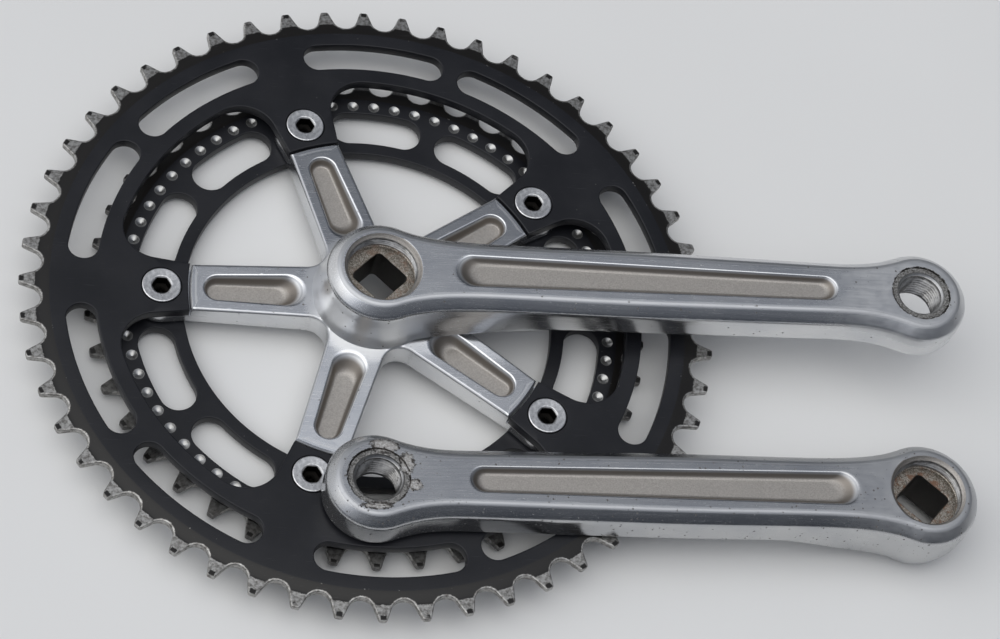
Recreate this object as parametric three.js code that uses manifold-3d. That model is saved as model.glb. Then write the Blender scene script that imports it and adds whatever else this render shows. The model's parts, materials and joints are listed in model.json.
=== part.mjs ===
// A bicycle double crankset: a right crank arm forged in one piece with its five-arm spider, an outer
// and an inner chainring held by five sleeve bolts, and the loose left crank arm laid across the rings.
//
// Millimetres, +Z up. The crank axis is x = y = 0, the table that the set lies on is z = 0, and +X runs
// along the right arm. The set lies with its outer face up.
import * as THREE from 'three';
import { mergeVertices } from 'three/addons/utils/BufferGeometryUtils.js';
import Module from 'manifold-3d';

const wasm = await Module();
wasm.setup();

// Chain and bolt circle
const CHAIN_PITCH = 12.7;
const ROLLER_RADIUS = 3.95;
const TOOTH_HEIGHT = 2.85; // tip above the pitch circle
const BOLT_CIRCLE_RADIUS = 65;
const SPIDER_ARMS = 5;
const SPIDER_STEP = (2 * Math.PI) / SPIDER_ARMS;
const FIRST_ARM_ANGLE = Math.PI; // the spider arm opposite the crank arm

// Chainrings
const OUTER_TEETH = 52;
const INNER_TEETH = 42;
const PLATE = 3.5; // ring thickness
const TOOTH_THICKNESS = 2.1;
const OUTER_RING_Z = 11.5; // middle of the outer ring above the table
const RING_SPACING = 8;
const INNER_RING_Z = OUTER_RING_Z - RING_SPACING;
const TAB_INNER_RADIUS = 57;
const TAB_HALF_WIDTH = 8.2;
const SPIDER_ARM_HALF_WIDTH = 8;
const TAB_SPREAD = 0.14; // how much wider a tab's half gets for each mm outwards
const WINDOW_RADIUS = 80;
const WINDOW_CORNER = 11;
const SLOT_INNER_RADIUS = 85;
const SLOT_OUTER_RADIUS = 94.3;
const SLOT_NEAR = THREE.MathUtils.degToRad(1.7); // slot ends, from the middle of a window
const SLOT_FAR = THREE.MathUtils.degToRad(30.9);
const OUTER_FLAT_RADIUS = 98.7;
const INNER_RING_BORE = 57.7;
const INNER_SLOT_INNER_RADIUS = 61.8;
const INNER_SLOT_OUTER_RADIUS = 73.2;
const INNER_SLOT_NEAR = THREE.MathUtils.degToRad(2.2);
const INNER_SLOT_FAR = THREE.MathUtils.degToRad(27);
const INNER_FLAT_RADIUS = 78.5;
const TOOTH_CONE = 3.8; // width of the cone between a ring's flat face and its teeth
const COUNTERBORE_RADIUS = 6.25;
const BOLT_HOLE_RADIUS = 5.3;
const FIT_GAP = 0.3; // left between pieces that touch

// Chainring bolts and their sleeve nuts
const HEAD_RADIUS = 5.95;
const HEAD_DEPTH = 1.6;
const HEAD_PROUD = 0.2;
const SCREW_RADIUS = 3.9;
const SLEEVE_RADIUS = 4.95;
const SLEEVE_BORE = 4.25;
const NUT_FLANGE_RADIUS = 6.9;
const NUT_FLANGE = 1.4;
const HEX_ACROSS_FLATS = 5;
const HEX_DEPTH = 4;

// Spider, forged with the right arm
const SPIDER_TOP = OUTER_RING_Z + PLATE / 2;
const HEAD_TOP = SPIDER_TOP + HEAD_PROUD;
const HEAD_BOTTOM = HEAD_TOP - HEAD_DEPTH;
const TAB_TOP = OUTER_RING_Z - PLATE / 2 - FIT_GAP;
const TAB_BOTTOM = INNER_RING_Z + PLATE / 2 + FIT_GAP;
const TAB_END_RADIUS = 9;
const TAB_END_SWEEP = THREE.MathUtils.degToRad(100);
const VALLEY_CENTRE = 25.5; // the round valley between two spider arms
const VALLEY_RADIUS = 6;
const SPIDER_RISE = 1.5; // the spider's face stands this much higher at its middle
const SPIDER_ROOT_RADIUS = 17;
const POCKET_START = 26.5; // centres of the pocket's rounded ends
const POCKET_START_RADIUS = 5.6;
const POCKET_END = 47.8;
const POCKET_END_RADIUS = 4.6;
const POCKET_DEPTH = 3;

// Crank arms
const CRANK_LENGTH = 170;
const ARM_THICKNESS = 13;
const ARM_CHAMFER = 3.4;
const BLADE_START = 85; // the blade is widest here and tapers to its end, next to the pedal eye
const BLADE_END = 143;
const BLADE_HALF_WIDTH = 12;
const BLADE_END_HALF_WIDTH = 11.2;
const NECK_BY_BOSS = new THREE.Vector2(19, 10.4); // handles of the hollow curve from boss to blade
const NECK_BY_BLADE = new THREE.Vector2(38, 12.4);
const NECK_BY_END = new THREE.Vector2(151, BLADE_END_HALF_WIDTH); // and of the one from blade to eye
const NECK_BY_EYE = new THREE.Vector2(157, 11.6);
const BOSS_TANGENT = THREE.MathUtils.degToRad(68); // where those curves meet the round ends
const EYE_TANGENT = THREE.MathUtils.degToRad(110);
const ARM_FLARE = 3.8; // how far the pedal end stands outwards of the boss
const BOSS_RADIUS = 16.8;
const EYE_RADIUS = 15.5;
const RIGHT_BOSS_TOP = 31.8;
const RIGHT_BOSS_DEPTH = 27;
const RIGHT_BOSS_FOOT_RADIUS = 18;
const BOSS_FLARE_HEIGHT = 6;
const LEFT_BOSS_DEPTH = 25.5;
const BOSS_BACK_RADIUS = 12.2;
const LEFT_BOSS_EDGE = new THREE.Vector2(14.3, 3.3); // radius and height where the barrel's side bends
const LEFT_BOSS_SIDE = new THREE.Vector2(16, 9.5);
const RIGHT_BOSS_BACK_RADIUS = 17.4;
const EXTRACTOR_RADIUS = 10.9;
const EXTRACTOR_RIM = 11.9;
const EXTRACTOR_DEPTH = 6;
const TAPER_SEAT = 12.7; // square hole across its flats at the washer seat
const TAPER_SLOPE = Math.tan((2 * Math.PI) / 180);
const RIGHT_BACK_RECESS = new THREE.Vector2(14, 7); // radius and depth of the round hollow behind the square
const LEFT_BACK_RECESS = new THREE.Vector2(11, 3.2);
const PEDAL_HOLE_RADIUS = 6.9;
const PEDAL_SEAT_RADIUS = 9.3;
const PEDAL_SEAT_DEPTH = 0.35;
const GROOVE_START = 28; // centres of the groove's rounded ends
const GROOVE_START_RADIUS = 5.3;
const GROOVE_END = 138.5;
const GROOVE_END_RADIUS = 4.1;
const GROOVE_DEPTH = 2.2;

// Where the left arm lies
const LEFT_SPINDLE = new THREE.Vector2(167.4, -64.1);
const LEFT_HEADING = THREE.MathUtils.degToRad(181.6);
const LEFT_RESTS_AT = 95; // distance along the arm where its back meets the outer ring's edge

const ROUND = 32; // segments in a full turn of a turned face
const OVERCUT = 1; // how far a cutter runs past the face it starts from

const aluminium = new THREE.MeshStandardMaterial({ color: 0xc9c8c6, roughness: 0.3, metalness: 1 });
const anodised = new THREE.MeshStandardMaterial({ color: 0x323339, roughness: 0.45, metalness: 0.6 });
const turnedSteel = new THREE.MeshStandardMaterial({ color: 0xb4b5b8, roughness: 0.3, metalness: 1 });

function toSolid(geometry) {
  const bare = new THREE.BufferGeometry();
  bare.setAttribute('position', geometry.getAttribute('position'));
  bare.setIndex(geometry.getIndex());
  const merged = mergeVertices(bare, 1e-4);
  return new wasm.Manifold(new wasm.Mesh({
    numProp: 3,
    vertProperties: new Float32Array(merged.getAttribute('position').array),
    triVerts: new Uint32Array(merged.getIndex().array),
  }));
}

function toGeometry(solid) {
  const mesh = solid.getMesh();
  const geometry = new THREE.BufferGeometry();
  geometry.setAttribute('position', new THREE.BufferAttribute(mesh.vertProperties, 3));
  geometry.setIndex(new THREE.BufferAttribute(mesh.triVerts, 1));
  geometry.computeVertexNormals();
  return geometry;
}

function prism(shape, bottom, top, curveSegments = 4, turn = 0) {
  const options = { depth: top - bottom, bevelEnabled: false, curveSegments };
  return toSolid(new THREE.ExtrudeGeometry(shape, options).rotateZ(turn).translate(0, 0, bottom));
}

// A closed profile of [radius, height] corners, turned about Z.
function turned(profile, segments = ROUND) {
  const points = [...profile, profile[0]].map(([r, z]) => new THREE.Vector2(r, z));
  return toSolid(new THREE.LatheGeometry(points, segments).rotateX(Math.PI / 2));
}

// A cone or cylinder along Z. Four or six segments make a square or hexagonal one.
function cone(bottomRadius, topRadius, bottom, top, place = new THREE.Vector2(), segments = ROUND) {
  const geometry = new THREE.CylinderGeometry(topRadius, bottomRadius, top - bottom, segments);
  return toSolid(geometry.rotateX(Math.PI / 2).translate(place.x, place.y, (bottom + top) / 2));
}

function onCircle(radius, angle) {
  return new THREE.Vector2(radius * Math.cos(angle), radius * Math.sin(angle));
}

function aroundSpider(build) {
  return Array.from({ length: SPIDER_ARMS }, (_, i) => build(FIRST_ARM_ANGLE - i * SPIDER_STEP, i));
}

// Round gullets for the chain's rollers, with flat tips between them. The first tooth's place is counted
// in teeth from +X.
function toothedOutline(teeth, firstTooth) {
  const step = (2 * Math.PI) / teeth;
  const pitchRadius = CHAIN_PITCH / (2 * Math.sin(step / 2));
  const tipHalfAngle = 0.09 * step;
  const gulletReach = 1.2; // half of the gullet's arc, in radians
  const shape = new THREE.Shape();
  for (let i = 0; i < teeth; i += 1) {
    const tooth = (firstTooth + i) * step;
    for (const side of [-1, 1]) {
      const corner = onCircle(pitchRadius + TOOTH_HEIGHT, tooth + side * tipHalfAngle);
      if (i === 0 && side === -1) shape.moveTo(corner.x, corner.y);
      else shape.lineTo(corner.x, corner.y);
    }
    const middle = tooth + step / 2;
    const centre = onCircle(pitchRadius, middle);
    const inwards = middle + Math.PI;
    shape.absarc(centre.x, centre.y, ROLLER_RADIUS, inwards + gulletReach, inwards - gulletReach, true);
  }
  return shape.closePath();
}

// A slot that follows the ring, from end to end at the given angles, with half-round ends.
function arcSlot(innerRadius, outerRadius, from, to) {
  const middleRadius = (innerRadius + outerRadius) / 2;
  const endRadius = (outerRadius - innerRadius) / 2;
  const start = from + endRadius / middleRadius;
  const end = to - endRadius / middleRadius;
  const startCentre = onCircle(middleRadius, start);
  const endCentre = onCircle(middleRadius, end);
  const slot = new THREE.Shape();
  slot.absarc(0, 0, outerRadius, start, end);
  slot.absarc(endCentre.x, endCentre.y, endRadius, end, end + Math.PI);
  slot.absarc(0, 0, innerRadius, end, start, true);
  slot.absarc(startCentre.x, startCentre.y, endRadius, start + Math.PI, start + 2 * Math.PI);
  return slot;
}

// The outer ring's open middle: five wide windows with the bolt tabs standing in between.
function windowOutline() {
  const edgeAngle = Math.atan(TAB_SPREAD);
  const edge = new THREE.Vector2(Math.cos(edgeAngle), Math.sin(edgeAngle));
  const foot = new THREE.Vector2(Math.sqrt(TAB_INNER_RADIUS ** 2 - TAB_HALF_WIDTH ** 2), TAB_HALF_WIDTH);
  const offset = new THREE.Vector2(-edge.y, edge.x).multiplyScalar(WINDOW_CORNER).add(foot);
  const reach = WINDOW_RADIUS - WINDOW_CORNER;
  const along = offset.dot(edge);
  const run = -along + Math.sqrt(along ** 2 - offset.lengthSq() + reach ** 2);
  const corner = edge.clone().multiplyScalar(run).add(offset);
  const cornerAngle = corner.angle();
  const footAngle = foot.angle();
  const outline = new THREE.Shape();
  for (let i = 0; i < SPIDER_ARMS; i += 1) {
    const tab = FIRST_ARM_ANGLE + i * SPIDER_STEP;
    const nextTab = tab + SPIDER_STEP;
    const first = corner.clone().rotateAround(new THREE.Vector2(), tab);
    const second = onCircle(reach, nextTab - cornerAngle);
    outline.absarc(0, 0, TAB_INNER_RADIUS, tab - footAngle, tab + footAngle);
    outline.absarc(first.x, first.y, WINDOW_CORNER, tab + edgeAngle - Math.PI / 2, tab + cornerAngle);
    outline.absarc(0, 0, WINDOW_RADIUS, tab + cornerAngle, nextTab - cornerAngle);
    const last = nextTab - edgeAngle + Math.PI / 2;
    outline.absarc(second.x, second.y, WINDOW_CORNER, nextTab - cornerAngle, last);
  }
  return outline;
}

// A ring's cross-section: a thick plate, a cone on each face, and thin teeth.
function ringSection(middle, bore, flatRadius, tipRadius) {
  const plate = PLATE / 2;
  const tooth = TOOTH_THICKNESS / 2;
  const coneEnd = flatRadius + TOOTH_CONE;
  return [
    [bore, middle - plate], [flatRadius, middle - plate], [coneEnd, middle - tooth],
    [tipRadius, middle - tooth], [tipRadius, middle + tooth], [coneEnd, middle + tooth],
    [flatRadius, middle + plate], [bore, middle + plate],
  ];
}

function chainring(teeth, firstTooth, middle, bore, flatRadius) {
  const bottom = middle - PLATE / 2;
  const top = middle + PLATE / 2;
  const blank = prism(toothedOutline(teeth, firstTooth), bottom, top, 2);
  const beyondTeeth = flatRadius + 2 * CHAIN_PITCH;
  let ring = blank.intersect(turned(ringSection(middle, bore, flatRadius, beyondTeeth), 2 * teeth));
  for (const hole of boltHoles(bottom, top)) ring = ring.subtract(hole);
  return ring;
}

function boltHoles(bottom, top) {
  return aroundSpider((angle) => {
    const place = onCircle(BOLT_CIRCLE_RADIUS, angle);
    return cone(BOLT_HOLE_RADIUS, BOLT_HOLE_RADIUS, bottom - OVERCUT, top + OVERCUT, place, 20);
  });
}

function cutSlots(ring, middle, innerRadius, outerRadius, near, far) {
  const bottom = middle - PLATE;
  const top = middle + PLATE;
  let cut = ring;
  aroundSpider((angle) => {
    const window = angle + SPIDER_STEP / 2;
    cut = cut.subtract(prism(arcSlot(innerRadius, outerRadius, window + near, window + far), bottom, top));
    cut = cut.subtract(prism(arcSlot(innerRadius, outerRadius, window - far, window - near), bottom, top));
  });
  return cut;
}

function outerChainring() {
  const top = OUTER_RING_Z + PLATE / 2;
  const bore = BOLT_CIRCLE_RADIUS / 2;
  let ring = chainring(OUTER_TEETH, 0, OUTER_RING_Z, bore, OUTER_FLAT_RADIUS);
  ring = ring.subtract(prism(windowOutline(), OUTER_RING_Z - PLATE, OUTER_RING_Z + PLATE));
  ring = cutSlots(ring, OUTER_RING_Z, SLOT_INNER_RADIUS, SLOT_OUTER_RADIUS, SLOT_NEAR, SLOT_FAR);
  aroundSpider((angle) => {
    const place = onCircle(BOLT_CIRCLE_RADIUS, angle);
    const floor = HEAD_BOTTOM - FIT_GAP;
    ring = ring.subtract(cone(COUNTERBORE_RADIUS, COUNTERBORE_RADIUS, floor, top + OVERCUT, place, 20));
  });
  return ring;
}

function innerChainring() {
  const ring = chainring(INNER_TEETH, 0.5, INNER_RING_Z, INNER_RING_BORE, INNER_FLAT_RADIUS);
  return cutSlots(
    ring, INNER_RING_Z, INNER_SLOT_INNER_RADIUS, INNER_SLOT_OUTER_RADIUS, INNER_SLOT_NEAR, INNER_SLOT_FAR,
  );
}

function chainringBolt() {
  const head = cone(HEAD_RADIUS, HEAD_RADIUS, HEAD_BOTTOM, HEAD_TOP, undefined, 20);
  const screw = cone(SCREW_RADIUS, SCREW_RADIUS, NUT_FLANGE + FIT_GAP, HEAD_BOTTOM + OVERCUT, undefined, 12);
  const socketRadius = HEX_ACROSS_FLATS / Math.sqrt(3);
  const socket = cone(socketRadius, socketRadius, HEAD_TOP - HEX_DEPTH, HEAD_TOP + OVERCUT, undefined, 6);
  return head.add(screw).subtract(socket);
}

function chainringNut() {
  const sleeveTop = HEAD_BOTTOM - FIT_GAP;
  return turned([
    [SLEEVE_BORE, 0], [NUT_FLANGE_RADIUS, 0], [NUT_FLANGE_RADIUS, NUT_FLANGE],
    [SLEEVE_RADIUS, NUT_FLANGE], [SLEEVE_RADIUS, sleeveTop], [SLEEVE_BORE, sleeveTop],
  ], 16);
}

// A slot along +X that narrows from one round end to the other.
function taperedSlot(start, startRadius, end, endRadius) {
  const tangent = Math.PI / 2 - Math.asin((startRadius - endRadius) / (end - start));
  const slot = new THREE.Shape();
  slot.absarc(start, 0, startRadius, tangent, 2 * Math.PI - tangent);
  slot.absarc(end, 0, endRadius, -tangent, tangent);
  return slot;
}

// Seen from the outer face: the round boss, the slightly waisted blade and the round pedal eye.
function armOutline() {
  const outline = new THREE.Shape();
  const boss = onCircle(BOSS_RADIUS, BOSS_TANGENT);
  const eye = onCircle(EYE_RADIUS, EYE_TANGENT).add(new THREE.Vector2(CRANK_LENGTH, 0));
  const [byBoss, byBlade, byEnd, byEye] = [NECK_BY_BOSS, NECK_BY_BLADE, NECK_BY_END, NECK_BY_EYE];
  outline.absarc(0, 0, BOSS_RADIUS, BOSS_TANGENT, 2 * Math.PI - BOSS_TANGENT);
  outline.bezierCurveTo(byBoss.x, -byBoss.y, byBlade.x, -byBlade.y, BLADE_START, -BLADE_HALF_WIDTH);
  outline.lineTo(BLADE_END, -BLADE_END_HALF_WIDTH);
  outline.bezierCurveTo(byEnd.x, -byEnd.y, byEye.x, -byEye.y, eye.x, -eye.y);
  outline.absarc(CRANK_LENGTH, 0, EYE_RADIUS, -EYE_TANGENT, EYE_TANGENT);
  outline.bezierCurveTo(byEye.x, byEye.y, byEnd.x, byEnd.y, BLADE_END, BLADE_END_HALF_WIDTH);
  outline.lineTo(BLADE_START, BLADE_HALF_WIDTH);
  outline.bezierCurveTo(byBlade.x, byBlade.y, byBoss.x, byBoss.y, boss.x, boss.y);
  return outline;
}

// The arm lies along +X with the boss's outer face at z = 0. The flare leans it outwards.
function armBlade() {
  const geometry = new THREE.ExtrudeGeometry(armOutline(), {
    depth: ARM_THICKNESS - 2 * ARM_CHAMFER,
    bevelThickness: ARM_CHAMFER,
    bevelSize: ARM_CHAMFER,
    bevelOffset: -ARM_CHAMFER,
    bevelSegments: 1,
    curveSegments: 8,
  });
  return toSolid(leanOutwards(geometry.translate(0, 0, ARM_CHAMFER - ARM_THICKNESS)));
}

function leanOutwards(geometry) {
  return geometry.applyMatrix4(new THREE.Matrix4().makeShear(0, ARM_FLARE / CRANK_LENGTH, 0, 0, 0, 0));
}

function faceGroove() {
  const outline = taperedSlot(GROOVE_START, GROOVE_START_RADIUS, GROOVE_END, GROOVE_END_RADIUS);
  const options = { depth: 2 * GROOVE_DEPTH, bevelEnabled: false, curveSegments: 4 };
  return toSolid(leanOutwards(new THREE.ExtrudeGeometry(outline, options).translate(0, 0, -GROOVE_DEPTH)));
}

function cutArm(blank, bossDepth, recess) {
  const axis = new THREE.Vector2();
  const eye = new THREE.Vector2(CRANK_LENGTH, 0);
  const seat = -EXTRACTOR_DEPTH;
  const lead = EXTRACTOR_RIM - EXTRACTOR_RADIUS;
  const cornerAtSeat = (TAPER_SEAT / 2 - TAPER_SLOPE * OVERCUT) * Math.SQRT2;
  const cornerAtBack = (TAPER_SEAT / 2 + TAPER_SLOPE * (bossDepth + seat + OVERCUT)) * Math.SQRT2;
  const pedalSeat = ARM_FLARE - PEDAL_SEAT_DEPTH;
  return blank
    .subtract(cone(recess.x, recess.x, -bossDepth - OVERCUT, recess.y - bossDepth))
    .subtract(cone(EXTRACTOR_RADIUS, EXTRACTOR_RADIUS, seat, OVERCUT))
    .subtract(cone(EXTRACTOR_RADIUS, EXTRACTOR_RIM + OVERCUT, -lead, OVERCUT))
    .subtract(cone(cornerAtBack, cornerAtSeat, -bossDepth - OVERCUT, seat + OVERCUT, axis, 4))
    .subtract(cone(PEDAL_HOLE_RADIUS, PEDAL_HOLE_RADIUS, -ARM_THICKNESS, pedalSeat + OVERCUT, eye, 24))
    .subtract(cone(PEDAL_SEAT_RADIUS, PEDAL_SEAT_RADIUS, pedalSeat, ARM_THICKNESS, eye, 24))
    .subtract(faceGroove());
}

// One outline for all five spider arms, with round valleys between them and a bolt tab on each.
function spiderOutline() {
  const outline = new THREE.Shape();
  for (let i = 0; i < SPIDER_ARMS; i += 1) {
    const arm = FIRST_ARM_ANGLE + i * SPIDER_STEP;
    const centre = onCircle(VALLEY_CENTRE, arm - SPIDER_STEP / 2);
    const bolt = onCircle(BOLT_CIRCLE_RADIUS, arm);
    const origin = new THREE.Vector2();
    const before = new THREE.Vector2(TAB_INNER_RADIUS, -SPIDER_ARM_HALF_WIDTH).rotateAround(origin, arm);
    const after = new THREE.Vector2(TAB_INNER_RADIUS, SPIDER_ARM_HALF_WIDTH).rotateAround(origin, arm);
    outline.absarc(
      centre.x, centre.y, VALLEY_RADIUS, arm - SPIDER_STEP + 1.5 * Math.PI, arm + Math.PI / 2, true,
    );
    outline.lineTo(before.x, before.y);
    outline.absarc(bolt.x, bolt.y, TAB_END_RADIUS, arm - TAB_END_SWEEP, arm + TAB_END_SWEEP);
    outline.lineTo(after.x, after.y);
  }
  return outline;
}

function spider() {
  const beyondTabs = BOLT_CIRCLE_RADIUS + 2 * TAB_END_RADIUS;
  const tabStep = TAB_INNER_RADIUS - 2 * FIT_GAP;
  const above = SPIDER_TOP + SPIDER_RISE + OVERCUT;
  let body = prism(spiderOutline(), TAB_BOTTOM, SPIDER_TOP + SPIDER_RISE);
  body = body.subtract(turned([
    [SPIDER_ROOT_RADIUS, SPIDER_TOP + SPIDER_RISE], [tabStep, SPIDER_TOP], [tabStep, TAB_TOP],
    [beyondTabs, TAB_TOP], [beyondTabs, above], [SPIDER_ROOT_RADIUS, above],
  ], 60));
  const pocket = taperedSlot(POCKET_START, POCKET_START_RADIUS, POCKET_END, POCKET_END_RADIUS);
  aroundSpider((angle) => {
    body = body.subtract(prism(pocket, SPIDER_TOP - POCKET_DEPTH, above, 4, angle));
  });
  for (const hole of boltHoles(TAB_BOTTOM, TAB_TOP)) body = body.subtract(hole);
  return body;
}

// The boss's outer face is at z = 0. Its middle is left open, where the square hole would cut it away.
function bossSolid(depth, profile) {
  const core = TAPER_SEAT / 3;
  const top = -ARM_THICKNESS / 2;
  return turned([[core, -depth], ...profile, [BOSS_RADIUS, top], [core, top]]);
}

function rightCrankArm() {
  const boss = bossSolid(RIGHT_BOSS_DEPTH, [
    [RIGHT_BOSS_BACK_RADIUS, -RIGHT_BOSS_DEPTH],
    [RIGHT_BOSS_FOOT_RADIUS, TAB_BOTTOM - RIGHT_BOSS_TOP],
    [RIGHT_BOSS_FOOT_RADIUS, SPIDER_TOP - RIGHT_BOSS_TOP],
    [BOSS_RADIUS, SPIDER_TOP - RIGHT_BOSS_TOP + BOSS_FLARE_HEIGHT],
  ]);
  const spiderInPlace = spider().translate([0, 0, -RIGHT_BOSS_TOP]);
  return cutArm(boss.add(armBlade()).add(spiderInPlace), RIGHT_BOSS_DEPTH, RIGHT_BACK_RECESS);
}

function leftCrankArm() {
  const boss = bossSolid(LEFT_BOSS_DEPTH, [
    [BOSS_BACK_RADIUS, -LEFT_BOSS_DEPTH],
    [LEFT_BOSS_EDGE.x, LEFT_BOSS_EDGE.y - LEFT_BOSS_DEPTH],
    [LEFT_BOSS_SIDE.x, LEFT_BOSS_SIDE.y - LEFT_BOSS_DEPTH],
  ]);
  return cutArm(boss.add(armBlade()), LEFT_BOSS_DEPTH, LEFT_BACK_RECESS);
}

const crankset = new THREE.Group();

function addPart(parent, name, solid, material) {
  const mesh = new THREE.Mesh(toGeometry(solid), material);
  mesh.name = name;
  parent.add(mesh);
  return mesh;
}

const rightArm = addPart(crankset, 'right_crank_arm', rightCrankArm(), aluminium);
rightArm.position.z = RIGHT_BOSS_TOP;
addPart(crankset, 'outer_chainring', outerChainring(), anodised);
addPart(crankset, 'inner_chainring', innerChainring(), anodised);
const boltSolid = chainringBolt();
const nutSolid = chainringNut();
aroundSpider((angle, i) => {
  const place = onCircle(BOLT_CIRCLE_RADIUS, angle);
  const bolt = addPart(crankset, `chainring_bolt_${i + 1}`, boltSolid, turnedSteel);
  const nut = addPart(crankset, `chainring_nut_${i + 1}`, nutSolid, turnedSteel);
  bolt.position.set(place.x, place.y, 0);
  nut.position.set(place.x, place.y, 0);
});

// The left arm leans on two things: its boss's back edge on the table, and its back on the outer ring.
const backRise = (ARM_FLARE / CRANK_LENGTH) * LEFT_RESTS_AT - ARM_THICKNESS;
const ringTop = OUTER_RING_Z + PLATE / 2 + FIT_GAP;
const lean = (LEFT_BOSS_DEPTH + backRise - ringTop) / (LEFT_RESTS_AT - BOSS_BACK_RADIUS);
const leftArm = addPart(crankset, 'left_crank_arm', leftCrankArm(), aluminium);
leftArm.position.set(
  LEFT_SPINDLE.x, LEFT_SPINDLE.y, LEFT_BOSS_DEPTH * Math.cos(lean) + BOSS_BACK_RADIUS * Math.sin(lean),
);
leftArm.rotation.set(0, lean, LEFT_HEADING, 'ZYX');

export default crankset;
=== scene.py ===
# A bicycle crankset on a pale table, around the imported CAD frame. Shapes are made in millimetres, and in
# metres in their mesh. A crank arm is made in its own frame, with the spindle axis along Z, the pedal end
# towards +X and the boss's outer rim at z = 0.
import json
import random
from functools import partialmethod
from math import asin, atan, atan2, cos, pi, radians, sin, sqrt, tan

import bmesh
import bpy
import numpy as np
from mathutils import Matrix, Vector, geometry, kdtree
from numpy.linalg import norm


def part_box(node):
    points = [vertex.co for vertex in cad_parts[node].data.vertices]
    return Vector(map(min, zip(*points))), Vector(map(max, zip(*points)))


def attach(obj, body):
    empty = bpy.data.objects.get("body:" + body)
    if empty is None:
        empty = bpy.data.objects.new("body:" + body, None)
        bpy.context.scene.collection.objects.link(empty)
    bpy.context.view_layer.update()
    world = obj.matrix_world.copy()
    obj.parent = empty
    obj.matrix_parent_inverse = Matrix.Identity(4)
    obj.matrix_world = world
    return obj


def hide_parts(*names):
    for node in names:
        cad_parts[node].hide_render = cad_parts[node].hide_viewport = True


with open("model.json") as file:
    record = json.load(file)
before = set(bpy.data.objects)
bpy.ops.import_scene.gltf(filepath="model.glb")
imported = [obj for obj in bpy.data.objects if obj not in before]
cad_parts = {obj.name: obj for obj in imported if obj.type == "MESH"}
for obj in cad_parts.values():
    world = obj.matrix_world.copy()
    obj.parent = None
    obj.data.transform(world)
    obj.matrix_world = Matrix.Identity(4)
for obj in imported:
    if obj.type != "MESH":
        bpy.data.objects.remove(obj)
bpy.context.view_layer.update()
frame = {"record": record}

MILLIMETRE = 0.001
SHARPEST_SMOOTH = radians(32)
RECORD_MOUNTS = {mount["name"]: mount for mount in frame["record"]["mounts"]}


def cad_top(node):
    return (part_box(node)[1] / MILLIMETRE).z


# Chain, bolt circle and the five spider arms
CHAIN_PITCH = 12.7
ROLLER_RADIUS = 3.95
TOOTH_HEIGHT = 2.85
BOLT_CIRCLE = 65
SPIDER_ARMS = 5
SPIDER_STEP = 2 * pi / SPIDER_ARMS
ARM_ANGLES = [pi - i * SPIDER_STEP for i in range(SPIDER_ARMS)]

# Chainrings
OUTER_TEETH, INNER_TEETH = 52, 42
HALF_PLATE, HALF_TOOTH = 1.75, 1.05
RING_TOP = cad_top("outer_chainring")
OUTER_RING_MIDDLE = RING_TOP - HALF_PLATE
INNER_RING_MIDDLE = cad_top("inner_chainring") - HALF_PLATE
TAB_RADIUS, TAB_HALF_WIDTH, TAB_SPREAD = 57, 8.2, 0.14
WINDOW_RADIUS, WINDOW_CORNER = 80, 11
OUTER_SLOT = (85, 94.3, radians(1.7), radians(30.9))
OUTER_FLAT_RADIUS, INNER_FLAT_RADIUS = 98.7, 78.5
INNER_RING_BORE = 57.7
INNER_SLOT = (61.8, 73.2, radians(2.2), radians(27))
TOOTH_CONE = 3.8
COUNTERBORE, HOLE_RADIUS = 6.25, 5.3
COUNTERBORE_FLOOR = RING_TOP - 1.7
DIMPLE_CIRCLE, DIMPLE_RADIUS, DIMPLE_DEPTH = 75.8, 1.65, 0.75
DIMPLE_SPACING = radians(5.1)
RING_EDGE, BREAK, RING_HOLE_COUNT = 0.28, 0.15, 60

# Spider
SPIDER_TOP = RING_TOP
SPIDER_RISE, SPIDER_ROOT = 1.5, 17
SPIDER_BACK, TAB_TOP = 5.55, 9.45
SPIDER_HALF_WIDTH, TAB_END_RADIUS = 8, 9
TAB_END_SWEEP = radians(100)
VALLEY_CENTRE, VALLEY_RADIUS = 25.5, 6
SPIDER_EDGE, VALLEY_EDGE = 0.8, 0.7
HUB_RING = 18.95
HUB_TAPER, HUB_FILLET, FILLET_HEIGHT = 1.3, 1.1, 4
POCKET_RIM = (26.5, 5.6, 47.8, 4.6)
POCKET_FLOOR = (30.8, 2.8, 48.2, 2.5)
POCKET_DEPTH = 3

# Crank arms
CRANK_LENGTH, ARM_THICKNESS, ARM_CHAMFER = 170, 13, 3.4
BLADE_START, BLADE_END = 85, 143
BLADE_HALF_WIDTH, BLADE_END_HALF_WIDTH = 12, 11.2
NECK_BY_BOSS, NECK_BY_BLADE = (19, 10.4), (38, 12.4)
NECK_BY_END, NECK_BY_EYE = (151, 11.2), (157, 11.6)
BOSS_TANGENT, EYE_TANGENT = radians(68), radians(110)
BOSS_RADIUS, EYE_RADIUS = 16.8, 15.5
LEAN = 3.8 / CRANK_LENGTH  # how much the outer face rises towards the eye
BOSS_TOP = 31.8
BORE_RADIUS, BORE_RIM, BORE_DEPTH = 10.9, 11.9, 6
TAPER_SEAT, TAPER_SLOPE, TAPER_CORNER = 12.7, tan(radians(2)), 1.7
RIGHT_BOSS_DEPTH, LEFT_BOSS_DEPTH, LEFT_BACK_RADIUS = 27, 25.5, 12.2
RIGHT_RECESS, LEFT_RECESS = (14, 7), (11, 3.2)
PEDAL_RADIUS, SEAT_RADIUS, PEDAL_SEAT_Z = 6.9, 9.3, 3.45
PEDAL_MOUNT_RADIUS, BACK_MOUNT_RADIUS = 8.1, 11.6
GROOVE_RIM = (28, 5.3, 138.5, 4.1)
GROOVE_FLOOR = (31.4, 3.5, 137, 2.7)
GROOVE_DEPTH = 2.2
WORN_EDGE = 0.06  # the finish, next to 0 for polished, that marks the edges which handling has dulled
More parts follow.
